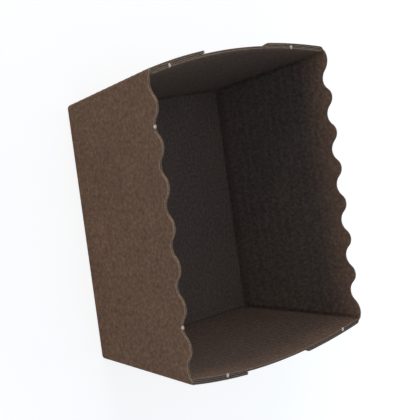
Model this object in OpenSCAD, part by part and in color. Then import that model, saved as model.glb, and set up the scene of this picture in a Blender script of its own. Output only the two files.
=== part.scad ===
// Square baking mold folded from one piece of thin corrugated card.
// Two scalloped walls stand along X, two bowed end walls stand along Y.
// Glue flaps run on from the scalloped walls, round the corners, and are
// stuck on the outside of the end walls.
// The origin is the middle of the underside, and +Z is up.

/* [Base] */
// Length of the base, along the scalloped walls
base_length = 66; // [50:1:76]
// Width of the base, along the end walls
base_width = 76; // [60:1:90]

/* [Rim] */
// Length of the mold at the rim corners, along the scalloped walls
rim_length = 80; // [78:1:100]
// Width of the mold at the rim corners, along the end walls
rim_width = 95; // [92:1:120]
// Height of the rim corners above the table
rim_height = 33; // [20:1:50]
// How far the middle of an end wall's rim bows outwards
end_bow = 3.3; // [0.5:0.1:5]

/* [Card] */
// Thickness of the corrugated card
board = 0.9; // [0.5:0.1:1.4]
// Radius of the sharp inner side of a fold
inner_crease = 0.3; // [0.1:0.1:0.5]

/* [Scalloped rim] */
// Number of bumps along the front rim; the back rim has the opposite cut
bump_count = 7; // [5:1:9]
// Height from the lowest dip to the top of a bump
wave_depth = 2.1; // [1:0.1:3]
// Share of each wave that the front rim's bump takes
bump_share = 0.54; // [0.4:0.01:0.6]
// Stretch of rim between the last bump and the corner
end_stretch = 6; // [4:0.5:9]

/* [Glue flaps] */
// Length of a glue flap along the end wall's rim, from the corner
flap_reach = 29; // [15:1:40]
// Height of a flap's lower edge above the table, at its free end
flap_gap = 2.4; // [1.8:0.1:5]

/* [Hidden] */

// Steps in the arc of a bump or a dip, in a corner bend, and along an end wall
arc_steps = 5;
bend_steps = 4;
flap_steps = 4;
middle_steps = 8;
// Width of a step's cut face, which keeps its two edges apart
cut_slant = 0.05;

half_base = [base_length / 2, base_width / 2];
half_rim = [rim_length / 2, rim_width / 2];
side_flare = atan((half_rim.y - half_base.y) / rim_height);
end_flare = atan((half_rim.x - half_base.x) / rim_height);
side_slope_length = rim_height / cos(side_flare);
end_slope_length = rim_height / cos(end_flare);

wave_pitch = (rim_length - 2 * end_stretch) / (bump_count - 1 + bump_share);
bump_chord = wave_pitch * bump_share;
dip_chord = wave_pitch - bump_chord;
wave_end = half_rim.x - end_stretch;
flap_limit = 1 - flap_reach / (half_rim.y - board);
// Size of the rounding on the outside of the base's folds, where a flap's lower edge starts
fold_radius = 0.75 * board;
flap_start = board;
corner_inset = board + inner_crease;

function mix(p, q, share) = p + (q - p) * share;
function spread(from, to, steps) = [for (i = [0 : steps - 1]) mix(from, to, i / steps)];

// Height of a round arc over its chord, at a distance from its middle
function arc_radius(chord, rise) = (chord * chord / 4 + rise * rise) / (2 * rise);
function arc_height(distance, chord, rise) =
    let (r = arc_radius(chord, rise))
    sqrt(max(0, r * r - distance * distance)) - r + rise;

// Front rim above its corners: bumps, dips between them, and a dip at each end
function wave(x) =
    abs(x) >= wave_end
        ? -arc_height(abs(x) - wave_end - end_stretch / 2, end_stretch, wave_depth * (1 - bump_share))
        : let (
            middle = (bump_count % 2 == 1) ? 0 : wave_pitch / 2,
            near = abs(x - middle - wave_pitch * round((x - middle) / wave_pitch)))
        near <= bump_chord / 2
            ? arc_height(near, bump_chord, wave_depth * bump_share)
            : -arc_height(wave_pitch / 2 - near, dip_chord, wave_depth * (1 - bump_share));

// Places along a scalloped rim, from corner to corner
bump_starts = [for (i = [0 : bump_count - 1]) -wave_end + i * wave_pitch];
rim_places = concat(
    spread(-half_rim.x, -wave_end, arc_steps),
    [for (start = bump_starts) each concat(
        spread(start, start + bump_chord, arc_steps),
        start + wave_pitch < wave_end
            ? spread(start + bump_chord, start + wave_pitch, arc_steps)
            : [])],
    spread(wave_end, half_rim.x, arc_steps),
    [half_rim.x]);

// Draws in the last stretch before a corner, so that an inner face ends at its own corner
function drawn_in(x, half, half_inner, edge) =
    abs(x) <= edge ? x : sign(x) * mix(edge, half_inner, (abs(x) - edge) / (half - edge));

// A station is one upright section of the sheet: [lines, tops, way out].
// Its lines are plan points, each at the base and then at the rim: those of the outer face below
// a flap's lower edge, of the outer face above it, and of the inner face.
// Its tops are the heights of the outer rim, of the inner rim and of a flap's lower edge.
function side_station(x, turn) =
    let (
        x0 = x * half_base.x / half_rim.x,
        inner0 = drawn_in(x0, half_base.x, half_base.x - corner_inset, wave_end * half_base.x / half_rim.x),
        inner1 = drawn_in(x, half_rim.x, half_rim.x - corner_inset, wave_end),
        wall = board / cos(side_flare),
        outer = [[x0, -half_base.y], [x, -half_rim.y]],
        top = (side_slope_length + turn * wave(x)) * cos(side_flare))
    [
        concat(outer, outer, [
            [inner0, wall - half_base.y],
            [inner1, wall - half_rim.y]]),
        [top, top + board * sin(side_flare), flap_start],
        [0, -1]
    ];

// The bend at the corner of +X and -Y, from the scalloped wall round to its flap
function bend_station(angle) =
    let (
        out = [sin(angle), -cos(angle)],
        share = angle / 90,
        flare = mix(side_flare, end_flare, share),
        corner0 = [half_base.x, -half_base.y],
        corner1 = [half_rim.x, -half_rim.y],
        outer = [for (corner = [corner0, corner1]) corner + [0, board] + board * out],
        inner_bend = [-corner_inset, corner_inset] + (corner_inset - board / cos(flare)) * out)
    [
        concat(outer, outer, [
            corner0 + inner_bend,
            corner1 + inner_bend]),
        [rim_height - share * board * sin(end_flare), rim_height + board * sin(flare), flap_start],
        out
    ];

// The end wall at +X, with one layer of card or, under a flap, two; its rim drops where it bows
function end_station(place, layers) =
    let (
        run = half_rim.x - half_base.x + end_bow * (1 - place * place),
        flare = asin(run / end_slope_length),
        top = end_slope_length * cos(flare),
        x0 = half_base.x,
        x1 = half_base.x + run * rim_height / top,
        y0 = place * (half_base.y - board),
        y1 = place * (half_rim.y - board),
        cover = (layers - 1) * board,
        wall = board / cos(flare),
        along = (1 - abs(place)) / (1 - flap_limit))
    [
        [
            [x0, y0],
            [x1, y1],
            [x0 + cover, y0],
            [x1 + cover, y1],
            [x0 - wall, y0 - place * inner_crease],
            [x1 - wall, y1 - place * inner_crease]
        ],
        [top - cover * sin(flare), top + board * sin(flare), mix(flap_start, flap_gap, min(1, along))],
        [1, 0]
    ];

function mirrored(station, signs) =
    let (flip = function (p) [p.x * signs.x, p.y * signs.y])
    [[for (p = station[0]) flip(p)], station[1], flip(station[2])];

// The end wall with its two corners, from -Y to +Y
bend_angles = [for (i = [1 : bend_steps - 1]) 90 * i / bend_steps];
free_edge = flap_limit - cut_slant / half_rim.y;
end_wall_stations = concat(
    [for (angle = bend_angles) bend_station(angle)],
    [for (place = concat(spread(-1, -flap_limit, flap_steps), [-flap_limit])) end_station(place, 2)],
    [for (place = concat(spread(-free_edge, free_edge, middle_steps), [free_edge])) end_station(place, 1)],
    [for (place = concat(spread(flap_limit, 1, flap_steps), [1])) end_station(place, 2)],
    [for (angle = bend_angles) mirrored(bend_station(90 - angle), [1, -1])]);

// All the way round: a scalloped wall and an end wall, then both again turned by half a turn
stations = [for (turn = [1, -1])
    for (station = concat([for (x = rim_places) side_station(x, turn)], end_wall_stations))
        mirrored(station, [turn, turn])];

function at_height(base, rim, z) = let (p = mix(base, rim, z / rim_height)) [p.x, p.y, z];
function bezier(p, q, r, share) = mix(mix(p, q, share), mix(q, r, share), share);

// The outline of one station, from the underside up the outside and down the inside to the floor
function section(station) =
    let (
        line = station[0],
        top = station[1],
        under = [line[0].x - fold_radius * station[2].x, line[0].y - fold_radius * station[2].y, 0],
        corner = [line[0].x, line[0].y, 0],
        side = at_height(line[0], line[1], fold_radius))
    [
        under,
        bezier(under, corner, side, 1 / 3),
        bezier(under, corner, side, 2 / 3),
        side,
        at_height(line[0], line[1], top[2]),
        at_height(line[2], line[3], top[2] + cut_slant),
        at_height(line[2], line[3], top[0]),
        at_height(line[4], line[5], top[1]),
        at_height(line[4], line[5], board)
    ];

// The sheet is one skin through all the outlines, closed by the underside and by the floor
module folded_mold() {
    rows = len(section(stations[0]));
    count = len(stations);
    underside_middle = count * rows;
    floor_middle = underside_middle + 1;
    points = concat([for (station = stations) each section(station)], [[0, 0, 0], [0, 0, board]]);
    faces = [for (i = [0 : count - 1])
        let (this = i * rows, that = ((i + 1) % count) * rows)
        each concat(
            [for (k = [0 : rows - 2]) each [
                [this + k, that + k + 1, that + k],
                [this + k, this + k + 1, that + k + 1]]],
            [[this, that, underside_middle],
             [that + rows - 1, this + rows - 1, floor_middle]])];
    color("#3f332c") polyhedron(points = points, faces = faces, convexity = 6);
}

folded_mold();
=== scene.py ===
"""A square baking mold folded from thin corrugated card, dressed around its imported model."""

import math
import random

import bpy
from mathutils import Matrix, Vector, noise


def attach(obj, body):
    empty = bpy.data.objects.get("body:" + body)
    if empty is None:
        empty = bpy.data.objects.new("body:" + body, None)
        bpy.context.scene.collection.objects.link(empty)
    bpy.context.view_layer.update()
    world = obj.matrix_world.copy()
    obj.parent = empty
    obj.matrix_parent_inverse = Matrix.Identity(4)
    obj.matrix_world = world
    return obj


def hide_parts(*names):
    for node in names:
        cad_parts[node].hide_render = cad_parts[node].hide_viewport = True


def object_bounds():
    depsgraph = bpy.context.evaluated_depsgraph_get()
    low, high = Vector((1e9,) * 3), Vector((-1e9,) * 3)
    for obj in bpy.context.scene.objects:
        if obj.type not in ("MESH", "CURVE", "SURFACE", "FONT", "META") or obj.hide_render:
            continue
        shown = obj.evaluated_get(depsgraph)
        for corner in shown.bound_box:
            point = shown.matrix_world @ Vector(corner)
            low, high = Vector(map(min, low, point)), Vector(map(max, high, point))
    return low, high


bl_info = {
    "name": "Folded Baking Mold",
    "version": (1, 0, 0),
    "blender": (4, 5, 0),
    "location": "3D View > Sidebar > Mold",
    "description": "Builds a baking mold of folded micro-flute card on a studio stage",
    "category": "Add Mesh",
}

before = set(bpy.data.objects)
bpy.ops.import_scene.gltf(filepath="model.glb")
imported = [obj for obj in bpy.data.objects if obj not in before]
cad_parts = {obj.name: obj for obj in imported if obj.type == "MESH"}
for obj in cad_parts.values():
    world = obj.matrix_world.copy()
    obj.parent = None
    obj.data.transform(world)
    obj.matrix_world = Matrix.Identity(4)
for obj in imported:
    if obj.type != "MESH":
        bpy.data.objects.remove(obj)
CAD_LOW, CAD_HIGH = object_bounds()

# The imported node that the card stands for
CARD_NODE = "folded_mold"


def linear(hex_colour):
    """A colour written in sRGB hex, as linear red, green, blue and alpha."""
    parts = [int(hex_colour[i:i + 2], 16) / 255 for i in (1, 3, 5)]
    return (*[p / 12.92 if p <= 0.04045 else ((p + 0.055) / 1.055) ** 2.4 for p in parts], 1.0)


def length(name, description, default):
    return bpy.props.FloatProperty(
        name=name, description=description, default=default, precision=5, unit="LENGTH")


def colour(name, description, default):
    return bpy.props.FloatVectorProperty(
        name=name, description=description, default=linear(default), size=4, subtype="COLOR")


class MoldSizes(bpy.types.PropertyGroup):
    """Sizes of the folded card, in metres."""

    base_length: length("Base length", "Length of the base, along the scalloped walls", 0.066)
    base_width: length("Base width", "Width of the base, along the end walls", 0.076)
    rim_length: length("Rim length", "Length at the rim corners, along the scalloped walls", 0.080)
    rim_width: length("Rim width", "Width at the rim corners, along the end walls", 0.095)
    rim_height: length("Rim height", "Height of the rim corners", 0.033)
    end_bow: length("End bow", "How far the middle of an end wall's rim bows out", 0.0033)
    board: length("Card", "Thickness of the corrugated card", 0.0009)
    liner: length("Liner", "Thickness of a cut liner's edge", 0.0002)
    medium: length("Medium", "Thickness of the wavy paper between the liners", 0.00015)
    flute_pitch: length("Flute pitch", "Distance from one flute to the next", 0.0024)
    rib_depth: length("Rib depth", "How far a liner sinks in between two flutes", 0.00009)
    wave_depth: length("Wave depth", "Height from the lowest dip to the top of a bump", 0.0021)
    end_stretch: length("End stretch", "Rim between the last bump and the corner", 0.006)
    flap_reach: length("Flap reach", "Length of a glue flap, from the corner", 0.029)
    flap_start: length("Flap start", "Height of a flap's lower edge at the corner", 0.0009)
    flap_edge: length("Flap edge", "Least height of a flap's free edge", 0.008)
    blank_gap: bpy.props.FloatProperty(
        name="Blank gap", description="Angle between a flap and the end wall in the flat blank",
        default=math.radians(3), subtype="ANGLE")
    glue_gap: length("Glue gap", "Gap between a flap and the end wall it is glued to", 0.00005)
    recess: length("Recess", "Depth of the open channels behind a cut edge", 0.00035)
    fold_crease: length("Fold crease", "Reach of the groove at a fold along the flutes", 0.0017)
    cross_crease: length("Cross crease", "Reach of the groove at a fold across the flutes", 0.001)
    crease_depth: length("Crease depth", "Depth of the groove along an inner fold", 0.00045)
    bump_count: bpy.props.IntProperty(
        name="Bumps", description="Number of bumps along the front rim", default=7, min=3)
    bump_share: bpy.props.FloatProperty(
        name="Bump share", description="Share of a wave that the bump takes", default=0.54,
        subtype="FACTOR")


class MoldColours(bpy.types.PropertyGroup):
    """Colours of the card, its cut edges and the stage."""

    card: colour("Card", "Dyed kraft of the liners", "#5b483c")
    card_dark: colour("Dark fibres", "Darker fibres in the liners", "#47372d")
    card_pale: colour("Pale fibres", "Paler fibres in the liners", "#6f5a4b")
    cut: colour("Cut edge", "Undyed kraft in the cut edges", "#a28a73")
    torn: colour("Torn fibres", "Fuzz of a torn nick", "#f0e6d8")
    floor: colour("Floor", "Studio floor", "#e8e8e6")


def mix(start, end, share):
    return start + (end - start) * share


def spread(start, end, steps):
    """Evenly spaced values from start to end, both included."""
    return [mix(start, end, i / steps) for i in range(steps + 1)]


def arc_height(distance, chord, rise):
    """Height of a round arc over its chord, at a distance from its middle."""
    radius = (chord * chord / 4 + rise * rise) / (2 * rise)
    return math.sqrt(max(0.0, radius * radius - distance * distance)) - radius + rise


class Station:
    """One upright section of a scalloped wall, of the bend at its corner or of a flap.

    outer and inner are its faces' lines in plan, each at the table and at the rim's height.
    out is the way out of its outer face.
    low is the height of its lower edge, and rounding the size of the rounding there.
    tops are the heights of its cut, at the outer and the inner face.
    flute(point) is the distance across the flutes, and ribbed the share of them left standing.
    creased says that its inner face has the grooves of the folds.
    """

    def __init__(self, outer, inner, out, low, rounding, tops, flute, ribbed=1.0, creased=True):
        self.outer, self.inner = outer, inner
        self.out = out
        self.low, self.rounding = low, rounding
        self.tops = tops
        self.flute, self.ribbed = flute, ribbed
        self.creased = creased


class Form:
    """The shape of the folded card, worked out from its sizes."""

    # Steps in a bump or a dip, round a corner, along a flap, up a wall and next to its rim
    BUMP_STEPS = 12
    BEND_STEPS = 6
    FLAP_STEPS = 24
    WALL_STEPS = 56
    RIM_STEPS = 6
    # Steps across one flute on an end wall and on the base, and up an end wall
    FLUTE_STEPS = 5
    END_STEPS = 8
    # Steps up an end wall with those at its foot and next to its rim
    END_ROWS = END_STEPS + 7
    # Share of the card that the outside of a fold rounds off, and the shares of the way round
    # it where its points lie
    FOLD_SHARE = 0.75
    ARC_SHARES = (0.0, 0.25, 0.5, 0.75)
    # Share of the ribs that is left in the bend at a corner
    BEND_RIBBED = 0.3
    # Glue gaps between an end wall's slanted sides and the bends
    SIDE_GAPS = 4
    # Rounding of a cut edge, and how far a die presses a cut edge in
    CUT_ROUNDING = 0.00008
    CRUSH_DEPTH = 0.00007
    CRUSH_REACH = 0.0014
    # Height below the rim's corners down to which its rows follow the waves
    SHOULDER_DROP = 0.0024
    # Steepest climb of a flap's lower edge
    STEEPEST_CLIMB = math.radians(80)
    # How far the base panel's edges reach into the walls
    OVERLAP = 0.00006

    def __init__(self, sizes):
        self.sizes = sizes
        self.board = sizes.board
        self.base = Vector((sizes.base_length / 2, sizes.base_width / 2))
        self.rim = Vector((sizes.rim_length / 2, sizes.rim_width / 2))
        self.height = sizes.rim_height
        self.side_flare = math.atan2(self.rim.y - self.base.y, self.height)
        self.end_flare = math.atan2(self.rim.x - self.base.x, self.height)
        self.side_slope = self.height / math.cos(self.side_flare)
        self.end_slope = self.height / math.cos(self.end_flare)
        self.side_wall = self.board / math.cos(self.side_flare)
        self.pitch = (sizes.rim_length - 2 * sizes.end_stretch) / (
            sizes.bump_count - 1 + sizes.bump_share)
        self.bump_chord = self.pitch * sizes.bump_share
        self.dip_chord = self.pitch - self.bump_chord
        self.wave_end = self.rim.x - sizes.end_stretch
        self.flap_limit = 1 - sizes.flap_reach / (self.rim.y - self.board)
        self.fold_radius = self.FOLD_SHARE * self.board
        self.shoulder = self.height - self.SHOULDER_DROP
        # The flaps' flutes climb, because both walls' sides lean out
        side_lean = math.atan2(self.rim.x - self.base.x, self.side_slope)
        end_lean = math.atan2(self.rim.y - self.base.y, self.end_slope)
        self.flute_climb = side_lean + end_lean
        # Their lower edges climb more, to leave the end walls room in the flat blank
        self.flap_climb = min(side_lean + 2 * end_lean + sizes.blank_gap, self.STEEPEST_CLIMB)

    def wave(self, x):
        """Height of the front rim above its corners. The back rim is cut the opposite way."""
        sizes = self.sizes
        bump = sizes.wave_depth * sizes.bump_share
        dip = sizes.wave_depth - bump
        if abs(x) >= self.wave_end:
            from_middle = abs(x) - self.wave_end - sizes.end_stretch / 2
            return -arc_height(from_middle, sizes.end_stretch, dip)
        middle = 0.0 if sizes.bump_count % 2 else self.pitch / 2
        near = abs(x - middle - self.pitch * round((x - middle) / self.pitch))
        if near <= self.bump_chord / 2:
            return arc_height(near, self.bump_chord, bump)
        return -arc_height(self.pitch / 2 - near, self.dip_chord, dip)

    def rim_places(self):
        """Places along a scalloped rim, from corner to corner, closer beside the inner grooves."""
        steps = self.BUMP_STEPS
        places = spread(-self.rim.x, -self.wave_end, steps)
        for bump in range(self.sizes.bump_count):
            start = -self.wave_end + bump * self.pitch
            places += spread(start, start + self.bump_chord, steps)[1:]
            if bump < self.sizes.bump_count - 1:
                places += spread(start + self.bump_chord, start + self.pitch, steps)[1:]
        places += spread(self.wave_end, self.rim.x, steps)[1:]
        corner = self.rim.x - self.board / math.cos(self.end_flare)
        width = self.sizes.cross_crease
        for offset in (-width, -width / 2, 0.0, self.board / 2):
            places += [corner + offset, -corner - offset]
        return sorted(places)

    def side_station(self, x, turn):
        """The front wall at a place along its rim. turn is -1 for the back wall's cut."""
        base_x = x * self.base.x / self.rim.x
        top = (self.side_slope + turn * self.wave(x)) * math.cos(self.side_flare)
        return Station(
            outer=(Vector((base_x, -self.base.y)), Vector((x, -self.rim.y))),
            inner=(
                Vector((base_x, self.side_wall - self.base.y)),
                Vector((x, self.side_wall - self.rim.y))),
            out=Vector((0, -1)), low=0.0, rounding=self.fold_radius,
            tops=(top, top + self.board * math.sin(self.side_flare)),
            flute=lambda p: p.z / math.cos(self.side_flare))

    def bend_station(self, angle):
        """The bend from the front wall round the corner at +X, to its flap."""
        share = angle / (math.pi / 2)
        out = Vector((math.sin(angle), -math.cos(angle)))
        lines = []
        for corner in (Vector((self.base.x, -self.base.y)), Vector((self.rim.x, -self.rim.y))):
            centre = corner + Vector((0, self.board))
            inside = Vector((
                self.sizes.glue_gap * math.sin(angle),
                (self.side_wall - self.board) * math.cos(angle)))
            lines.append((centre + self.board * out, centre + inside))
        drop = self.board * math.sin(self.end_flare) * share
        return Station(
            outer=(lines[0][0], lines[1][0]), inner=(lines[0][1], lines[1][1]), out=out,
            low=0.0, rounding=self.fold_radius,
            tops=(self.height - drop, mix(
                self.height + self.board * math.sin(self.side_flare), self.height, share)),
            flute=lambda p: p.z / math.cos(self.side_flare), ribbed=self.BEND_RIBBED)

    def end_line(self, place):
        """The end wall's outer face at a place from -1 to 1: its run outwards, and its top."""
        run = self.rim.x - self.base.x + self.sizes.end_bow * (1 - place * place)
        return run, math.sqrt(self.end_slope ** 2 - run ** 2)

    def flap_low(self, place):
        """Distance up the end wall's slope to a flap's lower edge, at a place from 0 to 1.

        That edge climbs straight from the corner, and leaves the flap's free edge its height.
        """
        rise = math.tan(self.flap_climb)
        widening = (self.rim.y - self.base.y) / self.end_slope
        start = self.sizes.flap_start * (1 + rise * widening)
        climbed = rise * (self.base.y - self.board) * (1 - place) + start
        return min(climbed / (1 + rise * widening * place), self.end_slope - self.sizes.flap_edge)

    def flap_station(self, place):
        """The flap at the corner of +X and -Y, glued on the end wall's outer face."""
        run, top = self.end_line(place)
        low = self.flap_low(abs(place)) * top / self.end_slope
        rim_x = self.base.x + run * self.height / top
        lean = run / self.end_slope
        lines = []
        for cover in (self.board + self.sizes.glue_gap, self.sizes.glue_gap):
            lines.append((
                Vector((self.base.x + cover, place * (self.base.y - self.board))),
                Vector((rim_x + cover, place * (self.rim.y - self.board)))))
        return Station(
            outer=lines[0], inner=lines[1], out=Vector((1, 0)), low=low,
            rounding=self.CUT_ROUNDING, tops=(top - self.board * lean, top),
            flute=self.flap_flute, creased=False)

    def flap_flute(self, p):
        """Distance across the climbing flutes of a flap."""
        climb = self.flute_climb
        inwards = self.base.y - abs(p.y)
        return p.z / math.cos(self.end_flare) * math.cos(climb) - inwards * math.sin(climb)

    def side_strip(self, turn, flap_steps):
        """Stations of the front wall with its corners and flaps, from flap's end to flap's end."""
        bends = [self.bend_station(a) for a in spread(0, math.pi / 2, self.BEND_STEPS)[1:-1]]
        flap = [self.flap_station(p) for p in spread(-1, -self.flap_limit, flap_steps)]
        right = bends + flap
        left = [self.mirrored(s) for s in reversed(right)]
        return left + [self.side_station(x, turn) for x in self.rim_places()] + right

    @staticmethod
    def mirrored(station):
        """The same section on the -X side."""
        outer, inner = (
            tuple(Vector((-p.x, p.y)) for p in line) for line in (station.outer, station.inner))
        return Station(
            outer, inner, Vector((-station.out.x, station.out.y)), station.low, station.rounding,
            station.tops, station.flute, station.ribbed, station.creased)

    def at_height(self, line, z):
        p = mix(line[0], line[1], z / self.height)
        return Vector((p.x, p.y, z))

    def pressed(self, distance):
        """How far a cut edge is pressed in, at a distance from it."""
        return self.CRUSH_DEPTH * max(0.0, 1 - distance / self.CRUSH_REACH) ** 2

    def crease(self, distance, width):
        """How deep a groove along an inner fold is, at a distance from the fold."""
        return self.sizes.crease_depth * max(0.0, 1 - distance / width)

    def foot_crease(self, z, width):
        """How deep the groove at a wall's foot is: it narrows from the floor's level, both ways."""
        above = z - self.board
        return self.crease(abs(above), width if above > 0 else self.board / 2)

    def foot_rows(self, width):
        """Offsets of the extra rows at an inner face's foot."""
        return (0.0, self.board / 2, self.board, self.board + width / 2, self.board + width)

    def above_floor(self, z):
        """Share of an upright corner's groove at a height. It ends at the floor's own groove."""
        return min(1.0, max(0.0, 2 * z / self.board - 1))

    def corner_crease(self, p):
        """How deep the groove beside an upright corner is, in a scalloped wall's inner face."""
        corner = self.base.x - self.board / math.cos(self.end_flare) + (
            p.z * math.tan(self.end_flare))
        inside = corner - abs(p.x)
        width = self.sizes.cross_crease if inside > 0 else self.board / 2
        return self.above_floor(p.z) * self.crease(abs(inside), width)

    def rib(self, phase, side):
        """How far a liner sinks in: nowhere over a flute's crest, most between two of them."""
        turn = 2 * math.pi * phase / self.sizes.flute_pitch
        return self.sizes.rib_depth * (1 - side * math.cos(turn)) / 2

    def skin(self, station, side):
        """Points of one face of a station, from its lower edge to its cut."""
        line, low, top = (
            (station.outer, station.low + station.rounding, station.tops[0]) if side > 0
            else (station.inner, station.low, station.tops[1]))
        rows = self.foot_rows(self.sizes.fold_crease) if side < 0 else (0.0,)
        foot = [low + row for row in rows]
        heights = foot[:-1] + spread(foot[-1], self.shoulder, self.WALL_STEPS)
        heights += spread(self.shoulder, top, self.RIM_STEPS)[1:]
        points = []
        for z in heights:
            p = self.at_height(line, z)
            from_edge = min(z - low, top - z)
            fade = station.ribbed * min(1.0, max(0.0, from_edge) / self.CRUSH_REACH)
            sink = fade * self.rib(station.flute(p), side) + self.pressed(top - z)
            if side < 0 and station.creased:
                groove = self.foot_crease(z, self.sizes.fold_crease)
                sink = max(sink, groove, self.corner_crease(p))
            points.append(p - side * sink * station.out.to_3d())
        return points

    def fold_arc(self, under, corner, side):
        """Points round the outside of a fold, from the underside to the outer face."""
        return [
            mix(mix(under, corner, share), mix(corner, side, share), share)
            for share in self.ARC_SHARES]

    def side_section(self, station):
        """The closed outline of a station: up the outer face and down the inner one."""
        low, rounding = station.low, station.rounding
        side = self.at_height(station.outer, low + rounding)
        corner = self.at_height(station.outer, low)
        under = corner - rounding * station.out.to_3d()
        return self.fold_arc(under, corner, side) + self.cut(
            self.skin(station, 1), list(reversed(self.skin(station, -1))))

    def cut(self, up, down):
        """Joins two faces at their cut, with both its edges rounded off a little."""
        across = (down[0] - up[-1]).normalized() * self.CUT_ROUNDING
        outer_drop = (up[-2] - up[-1]).normalized() * self.CUT_ROUNDING
        inner_drop = (down[1] - down[0]).normalized() * self.CUT_ROUNDING
        return (
            up[:-1] + [up[-1] + outer_drop, up[-1] + across, down[0] - across]
            + [down[0] + inner_drop] + down[1:])

    def end_face(self, y, z):
        """The end wall's outer face at +X: its place in X, its lean and the distance to its side."""
        half = mix(self.base.y - self.board, self.rim.y - self.board, z / self.height)
        run, top = self.end_line(max(-1.0, min(1.0, y / half)))
        return self.base.x + run * z / top, run / self.end_slope, half - abs(y)

    def end_top(self, y):
        """Height of the end wall's rim at its outer face."""
        top = self.height
        for _ in range(4):
            half = mix(self.base.y - self.board, self.rim.y - self.board, top / self.height)
            top = self.end_line(max(-1.0, min(1.0, y / half)))[1]
        return top

    def end_low(self, y):
        """Height of the end wall's slanted side beside the base, or 0 over the base."""
        past = abs(y) - (self.base.y - self.board)
        return max(0.0, past / (self.rim.y - self.base.y) * self.height)

    def end_thick(self, y):
        """The end wall's thickness, measured level."""
        lean = self.end_face(y, self.end_top(y))[1]
        return self.board / math.sqrt(1 - lean * lean)

    def end_heights(self, start, top):
        """Heights up an end wall, closer together at its foot and next to its rim."""
        width = self.sizes.cross_crease
        rows = (*self.foot_rows(width), self.board + 2 * width)
        squeeze = min(1.0, (top - start) / 2 / rows[-1])
        rim_start = top - min((top - start) / 4, self.CRUSH_REACH)
        return (
            [start + squeeze * row for row in rows]
            + spread(start + squeeze * rows[-1], rim_start, self.END_STEPS)[1:]
            + spread(rim_start, top, 2)[1:])

    def end_section(self, y):
        """The closed outline of the end wall at +X, in a cut along its flutes."""
        low, top = self.end_low(y), self.end_top(y)
        rounding = self.fold_radius if low == 0 else self.CUT_ROUNDING
        lean = self.end_face(y, top)[1]
        tops = {1: top, -1: top + self.board * lean}
        skins = {}
        for side in (1, -1):
            start = low + rounding if side > 0 else low
            points = []
            for z in self.end_heights(start, tops[side]):
                x, _, from_side = self.end_face(y, min(z, self.height))
                x += lean * (z - min(z, self.height))
                fade = min(1.0, max(0.0, min(z - start, tops[side] - z)) / self.CRUSH_REACH)
                sink = fade * self.rib(y, side) + self.pressed(tops[side] - z)
                if side < 0:
                    width = self.sizes.cross_crease
                    beside = self.above_floor(z) * self.crease(abs(from_side), width)
                    sink = max(sink, beside, self.foot_crease(z, width))
                    x -= self.end_thick(y)
                points.append(Vector((x - side * sink, y, z)))
            skins[side] = points
        x = self.end_face(y, low)[0]
        corner = Vector((x, y, low))
        under = corner - Vector((rounding, 0, 0))
        return self.fold_arc(under, corner, skins[1][0]) + self.cut(
            skins[1], list(reversed(skins[-1])))

    def end_places(self):
        """Places across an end wall, with one at the foot of each of its slanted sides."""
        last = self.rim.y - self.board - self.sizes.glue_gap * self.SIDE_GAPS
        steps = 2 * round(last / self.sizes.flute_pitch * self.FLUTE_STEPS)
        foot = self.base.y - self.board
        return sorted([*spread(-last, last, steps), -foot, foot])

    def base_section(self, y):
        """The closed outline of the base panel, in a cut along its flutes.

        Its sides lean out with the walls, and its floor falls into the creases along them.
        """
        last = self.base.y - self.side_wall
        from_fold = last - abs(y)
        fade = min(1.0, from_fold / self.CRUSH_REACH)
        groove = self.board / 2
        offsets = (0.0, groove / 2, groove, self.CRUSH_REACH)
        across = [(-1, offset) for offset in offsets]
        across += [(1, offset) for offset in reversed(offsets)]
        wider = 1 + (self.board * math.tan(self.side_flare) + self.OVERLAP) / last
        under, top = [], []
        for side, offset in across:
            halves = [
                self.end_face(y, z)[0] - self.end_thick(y) + self.OVERLAP - offset
                for z in (0.0, self.board)]
            inwards = fade * offset / self.CRUSH_REACH
            floor = self.board - max(
                inwards * self.rib(y, -1), self.crease(min(from_fold, offset), groove))
            under.append(Vector((side * halves[0], y, inwards * self.rib(y, 1))))
            top.append(Vector((side * halves[1], y * wider, floor)))
        return under + list(reversed(top))

    def base_places(self):
        """Places across the base, with the crease at each of its folds."""
        last = self.base.y - self.side_wall
        creased = last - self.board / 2
        between = spread(
            -creased, creased, 2 * round(creased / self.sizes.flute_pitch * self.FLUTE_STEPS))
        return spread(-last, -creased, 2)[:-1] + between + spread(creased, last, 2)[1:]


def deselect():
    if bpy.context.object and bpy.context.object.mode != "OBJECT":
        bpy.ops.object.mode_set(mode="OBJECT")
    bpy.ops.object.select_all(action="DESELECT")


def activate(piece):
    deselect()
    piece.select_set(True)
    bpy.context.view_layer.objects.active = piece


def place_points(piece, points):
    """Moves a mesh's points to their places."""
    flat = [value for point in points for value in point]
    piece.data.vertices.foreach_set("co", flat)
    piece.data.update()


# Material slots of a panel: its liners' faces, a cut's rounded edges, and the part to open
FACE, EDGE, OPENING = range(3)
# How much an opening narrows from its lips to its bottom, as a share of the lip
OPENING_SLANT = 0.1


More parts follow.
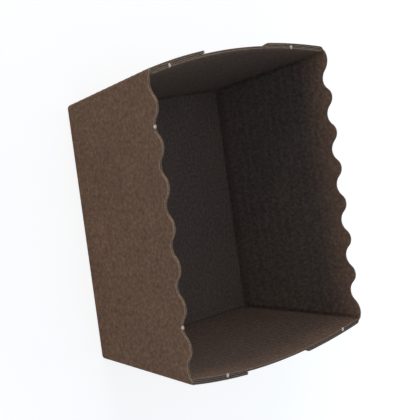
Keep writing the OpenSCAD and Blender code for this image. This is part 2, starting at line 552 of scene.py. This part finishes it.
def wrap(name, sections, materials, cut_from, ends_cut=False):
    """A closed sheet of card: a grid wrapped once round all its sections, and closed at its ends.

    From the outline's row cut_from on, the cut edge is a rounded edge, a face to open and
    another rounded edge. The faces that close its two ends are to be opened too, if ends_cut.
    A lower edge that is off the table is a plain cut.
    """
    rows = len(sections[0])
    deselect()
    bpy.ops.mesh.primitive_grid_add(x_subdivisions=rows, y_subdivisions=len(sections) - 1)
    piece = bpy.context.object
    piece.name = piece.data.name = name
    place_points(piece, [point for section in sections for point in [*section, section[0]]])
    for material in materials:
        piece.data.materials.append(material)
    for index, face in enumerate(piece.data.polygons):
        row = index % rows
        lower_cut = row == rows - 1 and face.center.z > 0
        if row == cut_from + 1:
            face.material_index = OPENING
        elif row in (cut_from, cut_from + 2) or lower_cut:
            face.material_index = EDGE
    bpy.ops.object.mode_set(mode="EDIT")
    bpy.ops.mesh.select_all(action="SELECT")
    bpy.ops.mesh.remove_doubles(threshold=1e-7)
    bpy.ops.mesh.select_all(action="SELECT")
    bpy.ops.mesh.fill_holes(sides=0)
    bpy.ops.mesh.select_all(action="SELECT")
    bpy.ops.mesh.normals_make_consistent(inside=False)
    bpy.ops.object.mode_set(mode="OBJECT")
    for face in piece.data.polygons:
        if ends_cut and len(face.vertices) > 4:
            face.material_index = OPENING
    return piece


def open_cut(piece, lip, recess):
    """Sinks the middle of a piece's cut edge between its two liners' lips."""
    activate(piece)
    bpy.ops.object.mode_set(mode="EDIT")
    bpy.ops.mesh.select_mode(type="FACE")
    bpy.ops.mesh.select_all(action="DESELECT")
    piece.active_material_index = OPENING
    bpy.ops.object.material_slot_select()
    bpy.ops.mesh.inset(thickness=lip, depth=0, use_even_offset=True)
    bpy.ops.mesh.inset(thickness=lip * OPENING_SLANT, depth=-recess, use_even_offset=True)
    bpy.ops.object.mode_set(mode="OBJECT")


def fluting(name, rim, sizes, material):
    """The wavy paper that shows in a cut edge.

    rim lists places along the cut, each as its middle, the way out of the card's outer face,
    the way into the card, and the distance across the flutes.
    """
    swing = sizes.board / 2 - sizes.liner - sizes.medium / 2
    deselect()
    bpy.ops.mesh.primitive_grid_add(x_subdivisions=len(rim) - 1, y_subdivisions=1)
    piece = bpy.context.object
    piece.name = piece.data.name = name
    points = []
    for depth in (sizes.liner / 4, sizes.recess):
        for middle, out, into, phase in rim:
            offset = swing * math.cos(2 * math.pi * phase / sizes.flute_pitch)
            points.append(middle + offset * out + depth * into)
    place_points(piece, points)
    piece.data.materials.append(material)
    bpy.ops.object.modifier_add(type="SOLIDIFY")
    solidify = piece.modifiers[-1]
    solidify.thickness = sizes.medium
    solidify.offset = 0
    bpy.ops.object.modifier_apply(modifier=solidify.name)
    return piece


def half_turn(piece):
    """Turns a piece's mesh round the mold's middle, to its place on the other side."""
    activate(piece)
    bpy.ops.object.mode_set(mode="EDIT")
    bpy.ops.mesh.select_all(action="SELECT")
    bpy.ops.transform.rotate(value=math.pi, orient_axis="Z", center_override=(0, 0, 0))
    bpy.ops.object.mode_set(mode="OBJECT")
    return piece


def join(pieces, name):
    deselect()
    for piece in pieces:
        piece.select_set(True)
    bpy.context.view_layer.objects.active = pieces[0]
    bpy.ops.object.join()
    joined = bpy.context.object
    joined.name = joined.data.name = name
    return joined


def dress(piece, angle=40):
    """Smooth shading up to an angle, and the card's body."""
    activate(piece)
    bpy.ops.object.shade_smooth_by_angle(angle=math.radians(angle))
    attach(piece, "root")
    return piece


def add_node(tree, kind, settings=None, links=None):
    """Adds one node, sets its properties and sockets, and links its inputs."""
    node = tree.nodes.new(kind)
    for key, value in (settings or {}).items():
        if isinstance(key, str) and hasattr(node, key):
            setattr(node, key, value)
        else:
            node.inputs[key].default_value = value
    for key, source in (links or {}).items():
        tree.links.new(source, node.inputs[key])
    return node


def new_material(name):
    material = bpy.data.materials.new(name)
    material.use_nodes = True
    material.node_tree.nodes.clear()
    return material, material.node_tree


def finish_material(material, tree, colour_output, height, bump_distance, settings):
    """Puts a colour and a fine relief on a matt paper surface."""
    bump = add_node(tree, "ShaderNodeBump", {"Distance": bump_distance, "Strength": 1.0},
                    {"Height": height})
    shader = add_node(tree, "ShaderNodeBsdfPrincipled", settings,
                      {"Base Color": colour_output, "Normal": bump.outputs["Normal"]})
    add_node(tree, "ShaderNodeOutputMaterial", links={"Surface": shader.outputs["BSDF"]})
    return material


# Noise sizes, in metres: single fibres, clumps of fibres and cloudy patches of a paper web
FIBRE = 0.00035
CLUMP = 0.0009
CLOUD = 0.012


def dyed_kraft_liner(colours):
    """Kraft liner, dyed brown in the pulp and left uncoated: matt, with felted fibres that
    break the brown into fine darker and paler flecks."""
    material, tree = new_material("dyed_kraft_liner")
    place = add_node(tree, "ShaderNodeTexCoord").outputs["Object"]
    # Fibres lie mostly across the flutes, so their flecks are longer that way
    stretched = add_node(tree, "ShaderNodeMapping", {"Scale": (1.0, 0.5, 0.5)},
                         {"Vector": place}).outputs["Vector"]
    fibres = add_node(tree, "ShaderNodeTexNoise",
                      {"Scale": 1 / FIBRE, "Detail": 5.0, "Roughness": 0.7}, {"Vector": stretched})
    clumps = add_node(tree, "ShaderNodeTexNoise",
                      {"Scale": 1 / CLUMP, "Detail": 2.0, "Roughness": 0.5}, {"Vector": place})
    clouds = add_node(tree, "ShaderNodeTexNoise",
                      {"Scale": 1 / CLOUD, "Detail": 2.0}, {"Vector": place})
    flecks = add_node(tree, "ShaderNodeMath", {"operation": "MULTIPLY_ADD", 1: 0.6},
                      {0: fibres.outputs["Fac"], 2: clumps.outputs["Fac"]})
    tone = add_node(tree, "ShaderNodeMath", {"operation": "MULTIPLY_ADD", 1: 0.2},
                    {0: clouds.outputs["Fac"], 2: flecks.outputs[0]})
    ramp = add_node(tree, "ShaderNodeValToRGB", links={"Fac": add_node(
        tree, "ShaderNodeMapRange", {"From Min": 0.6, "From Max": 1.2},
        {"Value": tone.outputs[0]}).outputs["Result"]})
    ramp.color_ramp.elements[0].color = colours.card_dark
    ramp.color_ramp.elements[1].color = colours.card_pale
    ramp.color_ramp.elements.new(0.5).color = colours.card
    return finish_material(
        material, tree, ramp.outputs["Color"], flecks.outputs[0], 0.00006,
        {"Roughness": 0.85, "IOR": 1.48, "Specular IOR Level": 0.25})


def cut_kraft(colours):
    """Undyed kraft laid open by the die: paler than the liners, with ragged short fibres."""
    material, tree = new_material("cut_kraft")
    place = add_node(tree, "ShaderNodeTexCoord").outputs["Object"]
    fibres = add_node(tree, "ShaderNodeTexNoise",
                      {"Scale": 1 / FIBRE, "Detail": 4.0, "Roughness": 0.7}, {"Vector": place})
    ramp = add_node(tree, "ShaderNodeValToRGB", links={"Fac": fibres.outputs["Fac"]})
    ramp.color_ramp.elements[0].position = 0.3
    ramp.color_ramp.elements[0].color = colours.card
    ramp.color_ramp.elements[1].position = 0.62
    ramp.color_ramp.elements[1].color = colours.cut
    return finish_material(
        material, tree, ramp.outputs["Color"], fibres.outputs["Fac"], 0.00008,
        {"Roughness": 0.9, "IOR": 1.48, "Specular IOR Level": 0.25})


def torn_kraft(colours):
    """Fuzz of torn kraft fibres, bright because loose fibres scatter the light."""
    material, tree = new_material("torn_kraft")
    place = add_node(tree, "ShaderNodeTexCoord").outputs["Object"]
    fibres = add_node(tree, "ShaderNodeTexNoise",
                      {"Scale": 2 / FIBRE, "Detail": 3.0, "Roughness": 0.7}, {"Vector": place})
    ramp = add_node(tree, "ShaderNodeValToRGB", links={"Fac": fibres.outputs["Fac"]})
    ramp.color_ramp.elements[0].position = 0.35
    ramp.color_ramp.elements[0].color = colours.cut
    ramp.color_ramp.elements[1].position = 0.55
    ramp.color_ramp.elements[1].color = colours.torn
    return finish_material(
        material, tree, ramp.outputs["Color"], fibres.outputs["Fac"], 0.00008,
        {"Roughness": 0.95, "IOR": 1.48, "Specular IOR Level": 0.2})


def shared_material(name, make, colours):
    """The material of that name, made at its first use."""
    return bpy.data.materials.get(name) or make(colours)


class MOLD_OT_folded_card(bpy.types.Operator):
    """Builds the folded sheet: its base, scalloped walls with flaps, and end walls"""

    bl_idname = "mold.folded_card"
    bl_label = "Folded Card"

    def execute(self, context):
        sizes, colours = context.scene.mold_sizes, context.scene.mold_colours
        form = Form(sizes)
        liner = shared_material("dyed_kraft_liner", dyed_kraft_liner, colours)
        cut = shared_material("cut_kraft", cut_kraft, colours)
        paper = [liner, cut, cut]
        lip = sizes.liner - form.CUT_ROUNDING
        panels = []
        for name, turn in (("front_wall", 1), ("back_wall", -1)):
            sections = [
                form.side_section(s) for s in form.side_strip(turn, form.FLAP_STEPS)]
            cut_from = len(form.ARC_SHARES) + form.WALL_STEPS + form.RIM_STEPS
            wall = wrap(name, sections, paper, cut_from, ends_cut=True)
            open_cut(wall, lip, sizes.recess)
            panels.append(wall if turn == 1 else half_turn(wall))
        for name, turn in (("right_end_wall", 1), ("left_end_wall", -1)):
            sections = [form.end_section(y) for y in form.end_places()]
            wall = wrap(name, sections, paper, len(form.ARC_SHARES) + form.END_ROWS)
            open_cut(wall, lip, sizes.recess)
            panels.append(wall if turn == 1 else half_turn(wall))
        floor = [form.base_section(y) for y in form.base_places()]
        panels.append(wrap("base", floor, paper, len(floor[0])))
        card = dress(join(panels, "folded_card"))
        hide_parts(CARD_NODE)
        return {"FINISHED"}


class MOLD_OT_fluting(bpy.types.Operator):
    """Builds the wavy paper that shows between the liners in every cut edge"""

    bl_idname = "mold.fluting"
    bl_label = "Fluting"

    # Points along one flute in a cut across the flutes, and along a flap's cut
    WAVE_STEPS = 12
    FLAP_CUT_STEPS = 90

    def execute(self, context):
        sizes, colours = context.scene.mold_sizes, context.scene.mold_colours
        form = Form(sizes)
        paper = shared_material("cut_kraft", cut_kraft, colours)
        strips = []
        for turn in (1, -1):
            stations = form.side_strip(turn, self.FLAP_CUT_STEPS)
            strip = [fluting("side_fluting", self.side_rim(form, stations), sizes, paper)]
            for station in (stations[0], stations[-1]):
                strip.append(fluting("flap_fluting", self.flap_end(form, station), sizes, paper))
            strip.append(fluting("end_fluting", self.end_rim(form), sizes, paper))
            strips += strip if turn == 1 else [half_turn(piece) for piece in strip]
        dress(join(strips, "fluting"))
        return {"FINISHED"}

    def side_rim(self, form, stations):
        """The cut of a scalloped wall and of its flaps' upper edges."""
        rim = []
        for station in stations:
            outer = form.at_height(station.outer, station.tops[0])
            inner = form.at_height(station.inner, station.tops[1])
            below = form.at_height(station.outer, station.tops[0] - form.board)
            rim.append((
                (outer + inner) / 2, (outer - inner).normalized(), (below - outer).normalized(),
                station.flute(outer)))
        return rim

    def flap_end(self, form, station):
        """The upright cut at a flap's free end."""
        rim = []
        for z in spread(station.low, station.tops[0], self.FLAP_CUT_STEPS):
            outer, inner = (form.at_height(line, z) for line in (station.outer, station.inner))
            rim.append((
                (outer + inner) / 2, (outer - inner).normalized(), Vector((0, -1, 0)),
                station.flute(outer)))
        return rim

    def end_rim(self, form):
        """The cut of an end wall, straight across its flutes."""
        last = form.end_places()[-1]
        steps = 2 * round(last / form.sizes.flute_pitch * self.WAVE_STEPS)
        rim = []
        for y in spread(-last, last, steps):
            top = form.end_top(y)
            x, lean, _ = form.end_face(y, top)
            upright = math.sqrt(1 - lean * lean)
            outer = Vector((x, y, top))
            out = Vector((upright, 0, -lean))
            rim.append((outer - form.board / 2 * out, out, Vector((-lean, 0, -upright)), y))
        return rim


class MOLD_OT_torn_nicks(bpy.types.Operator):
    """Builds the torn nicks that held the flat blank in its sheet"""

    bl_idname = "mold.torn_nicks"
    bl_label = "Torn Nicks"

    # Places of the nicks along each end wall's rim, at +X and at -X
    END_NICKS = (0.037, -0.029)
    # Half the size of a nick's mound along the cut, across it and up
    MOUND_SIZE = Vector((0.00048, 0.00042, 0.0004))
    # How ragged a mound is, how many lumps it has, and how far its lumps are from the next nick's
    MOUND_RAGGED = 0.45
    MOUND_LUMPS = 3
    MOUND_SHIFT = 9
    # Loose fibres of a nick: how many, their length, thickness and widest lean
    FIBRES = 9
    FIBRE_LENGTH = 0.0006
    FIBRE_RADIUS = 0.00007
    FIBRE_LEAN = 1.1

    def execute(self, context):
        sizes, colours = context.scene.mold_sizes, context.scene.mold_colours
        form = Form(sizes)
        paper = shared_material("torn_kraft", torn_kraft, colours)
        nicks = []
        dip = form.pitch * (sizes.bump_count - 2) / 2
        for x in (-dip, dip):
            station = form.side_station(x, 1)
            outer = form.at_height(station.outer, station.tops[0])
            inner = form.at_height(station.inner, station.tops[1])
            nicks.append(self.nick((outer + inner) / 2, paper, len(nicks)))
        for side in (1, -1):
            for y in self.END_NICKS:
                top = form.end_top(y)
                x, lean, _ = form.end_face(y, top)
                outer = Vector((side * x, side * y, top))
                inner = outer + form.board * Vector((-side, 0, lean))
                nicks.append(self.nick((outer + inner) / 2, paper, len(nicks)))
        dress(join(nicks, "torn_nicks"), angle=60)
        return {"FINISHED"}

    def nick(self, middle, paper, number):
        """A torn tuft on a cut edge: a ragged mound with loose fibres."""
        chance = random.Random(number)
        shift = Vector((self.MOUND_SHIFT * number, 0, 0))
        deselect()
        bpy.ops.mesh.primitive_ico_sphere_add(subdivisions=4, radius=1, location=(0, 0, 0))
        mound = bpy.context.object
        points = []
        for vertex in mound.data.vertices:
            p = vertex.co
            ragged = 1 + self.MOUND_RAGGED * noise.noise(self.MOUND_LUMPS * p + shift)
            points.append(middle + Vector([p[i] * self.MOUND_SIZE[i] * ragged for i in range(3)]))
        place_points(mound, points)
        tuft = [mound]
        for _ in range(self.FIBRES):
            lean = chance.uniform(0.2, 1.0) * self.FIBRE_LEAN
            turn = chance.uniform(0.0, 2 * math.pi)
            way = Vector((
                math.sin(lean) * math.cos(turn), math.sin(lean) * math.sin(turn), math.cos(lean)))
            size = chance.uniform(0.6, 1.0) * self.FIBRE_LENGTH
            deselect()
            bpy.ops.mesh.primitive_cone_add(
                vertices=6, radius1=self.FIBRE_RADIUS, radius2=self.FIBRE_RADIUS / 4, depth=size,
                location=middle + way * size / 2, rotation=way.to_track_quat("Z", "Y").to_euler())
            bpy.ops.object.transform_apply(location=True, rotation=True, scale=True)
            tuft.append(bpy.context.object)
        joined = join(tuft, f"torn_nick_{number}")
        joined.data.materials.append(paper)
        return joined


class MOLD_OT_stage(bpy.types.Operator):
    """Sets up the floor, the soft light and the camera"""

    bl_idname = "mold.stage"
    bl_label = "Stage"

    FLOOR_SIZE = 6.0
    FLOOR_DROP = 0.00002
    # Share of plain white that the camera sees in the floor by the mold, over the floor's own
    # light and shade, and that white's level. The share grows with the distance from the mold,
    # from the first distance on, and the floor is all white from the second one on.
    WHITE_SHARE = 0.6
    WHITE_LEVEL = 1.4
    WHITE_START = 0.08
    WHITE_END = 0.5
    # Level and colour of the light from all round, which is cool, as in a shaded hollow
    AMBIENT = 0.35
    AMBIENT_COLOUR = (0.32, 0.62, 1.0)
    # Colours of the lamps
    WARM = (1.0, 0.82, 0.63)
    SOFT_WARM = (1.0, 0.92, 0.82)
    WHITE = (1.0, 1.0, 1.0)
    # Each lamp: name, place, width, height, power and colour
    LAMPS = (
        ("front_strip", (0.0, -0.7, 0.05), 0.5, 0.08, 2.45, WARM),
        ("back_strip", (0.0, 0.7, 0.05), 0.5, 0.08, 2.3, WARM),
        ("left_strip", (-0.7, 0.0, 0.05), 0.5, 0.08, 1.9, WARM),
        ("right_strip", (0.7, 0.0, 0.03), 0.5, 0.04, 1.6, WARM),
        ("left_softbox", (-0.6, -0.1, 0.2), 0.3, 0.3, 0.9, SOFT_WARM),
        ("back_softbox", (0.0, 0.7, 0.24), 0.3, 0.3, 0.7, WHITE),
        ("high_softbox", (-0.25, -0.2, 0.6), 0.3, 0.3, 0.3, WHITE),
        ("front_high_softbox", (0.0, -0.5, 0.6), 0.3, 0.3, 0.25, WHITE),
    )
    # The camera's place round the mold's middle, its turn about its own line of sight, and lens
    DISTANCE = 0.597
    AZIMUTH = -4.2
    ELEVATION = 31.3
    ROLL = 84.4
    LENS = 185.0
    AIM = (0.0, 0.0, 0.0165)

    def execute(self, context):
        scene = context.scene
        scene.view_settings.view_transform = "Standard"
        self.world(scene)
        self.floor(scene.mold_colours)
        for lamp in self.LAMPS:
            self.lamp(*lamp)
        self.camera(scene)
        return {"FINISHED"}

    @staticmethod
    def seen_directly(tree):
        """1 for what the camera sees, directly, in a gloss or through glass, and 0 for light."""
        path = add_node(tree, "ShaderNodeLightPath").outputs
        glossy = add_node(tree, "ShaderNodeMath", {"operation": "MAXIMUM"},
                          {0: path["Is Camera Ray"], 1: path["Is Glossy Ray"]})
        return add_node(tree, "ShaderNodeMath", {"operation": "MAXIMUM"},
                        {0: glossy.outputs[0], 1: path["Is Transmission Ray"]}).outputs[0]

    def world(self, scene):
        scene.world = bpy.data.worlds.new("soft_studio")
        scene.world.use_nodes = True
        tree = scene.world.node_tree
        tree.nodes.clear()
        light = add_node(tree, "ShaderNodeBackground", {"Strength": self.AMBIENT})
        light.inputs["Color"].default_value = (*self.AMBIENT_COLOUR, 1)
        seen = add_node(tree, "ShaderNodeBackground", {"Strength": 1.0})
        seen.inputs["Color"].default_value = (1, 1, 1, 1)
        mixed = add_node(tree, "ShaderNodeMixShader", links={
            0: self.seen_directly(tree), 1: light.outputs[0], 2: seen.outputs[0]})
        add_node(tree, "ShaderNodeOutputWorld", links={"Surface": mixed.outputs[0]})

    def floor(self, colours):
        bpy.ops.mesh.primitive_plane_add(size=self.FLOOR_SIZE, location=(0, 0, 0))
        floor = bpy.context.object
        floor.name = floor.data.name = "studio_floor"
        floor.location.z = CAD_LOW.z - self.FLOOR_DROP
        material, tree = new_material("matt_white_floor")
        plain = add_node(tree, "ShaderNodeBsdfDiffuse", {"Color": tuple(colours.floor)})
        white = add_node(tree, "ShaderNodeEmission", {"Strength": self.WHITE_LEVEL})
        place = add_node(tree, "ShaderNodeTexCoord").outputs["Object"]
        distance = add_node(tree, "ShaderNodeVectorMath", {"operation": "LENGTH"}, {0: place})
        growing = add_node(
            tree, "ShaderNodeMapRange",
            {"From Min": self.WHITE_START, "From Max": self.WHITE_END, "To Min": self.WHITE_SHARE},
            {"Value": distance.outputs["Value"]})
        share = add_node(tree, "ShaderNodeMath", {"operation": "MULTIPLY"},
                         {0: self.seen_directly(tree), 1: growing.outputs["Result"]})
        mixed = add_node(tree, "ShaderNodeMixShader", links={
            0: share.outputs[0], 1: plain.outputs[0], 2: white.outputs[0]})
        add_node(tree, "ShaderNodeOutputMaterial", links={"Surface": mixed.outputs[0]})
        floor.data.materials.append(material)

    def lamp(self, name, place, width, height, power, colour_of_light):
        bpy.ops.object.light_add(type="AREA", location=place)
        lamp = bpy.context.object
        lamp.name = lamp.data.name = name
        lamp.data.shape = "RECTANGLE"
        lamp.data.size = width
        lamp.data.size_y = height
        lamp.data.energy = power
        lamp.data.color = colour_of_light
        lamp.rotation_euler = (Vector(self.AIM) - lamp.location).to_track_quat("-Z", "Y").to_euler()

    def camera(self, scene):
        azimuth, elevation = math.radians(self.AZIMUTH), math.radians(self.ELEVATION)
        back = Vector((
            math.sin(azimuth) * math.cos(elevation),
            -math.cos(azimuth) * math.cos(elevation),
            math.sin(elevation)))
        aim = Vector(self.AIM)
        bpy.ops.object.camera_add(location=aim + self.DISTANCE * back)
        camera = bpy.context.object
        camera.name = camera.data.name = "photo_camera"
        level = (-back).to_track_quat("-Z", "Y")
        roll = Matrix.Rotation(math.radians(self.ROLL), 4, "Z").to_quaternion()
        camera.rotation_mode = "QUATERNION"
        camera.rotation_quaternion = level @ roll
        camera.data.lens = self.LENS
        camera.data.clip_start = 0.01
        scene.camera = camera


class MOLD_PT_panel(bpy.types.Panel):
    """Lists the mold's steps and sizes in the sidebar"""

    bl_idname = "MOLD_PT_panel"
    bl_label = "Folded Baking Mold"
    bl_space_type = "VIEW_3D"
    bl_region_type = "UI"
    bl_category = "Mold"

    def draw(self, context):
        for operator in STEPS:
            self.layout.operator(operator.bl_idname)
        for group in (context.scene.mold_sizes, context.scene.mold_colours):
            column = self.layout.column()
            for name in group.__annotations__:
                column.prop(group, name)


STEPS = (MOLD_OT_stage, MOLD_OT_folded_card, MOLD_OT_fluting, MOLD_OT_torn_nicks)
CLASSES = (MoldSizes, MoldColours, *STEPS, MOLD_PT_panel)


def register():
    for cls in CLASSES:
        bpy.utils.register_class(cls)
    bpy.types.Scene.mold_sizes = bpy.props.PointerProperty(type=MoldSizes)
    bpy.types.Scene.mold_colours = bpy.props.PointerProperty(type=MoldColours)


def unregister():
    del bpy.types.Scene.mold_colours
    del bpy.types.Scene.mold_sizes
    for cls in reversed(CLASSES):
        bpy.utils.unregister_class(cls)


def main():
    register()
    bpy.ops.mold.stage()
    bpy.ops.mold.folded_card()
    bpy.ops.mold.fluting()
    bpy.ops.mold.torn_nicks()


if __name__ == "__main__":
    main()
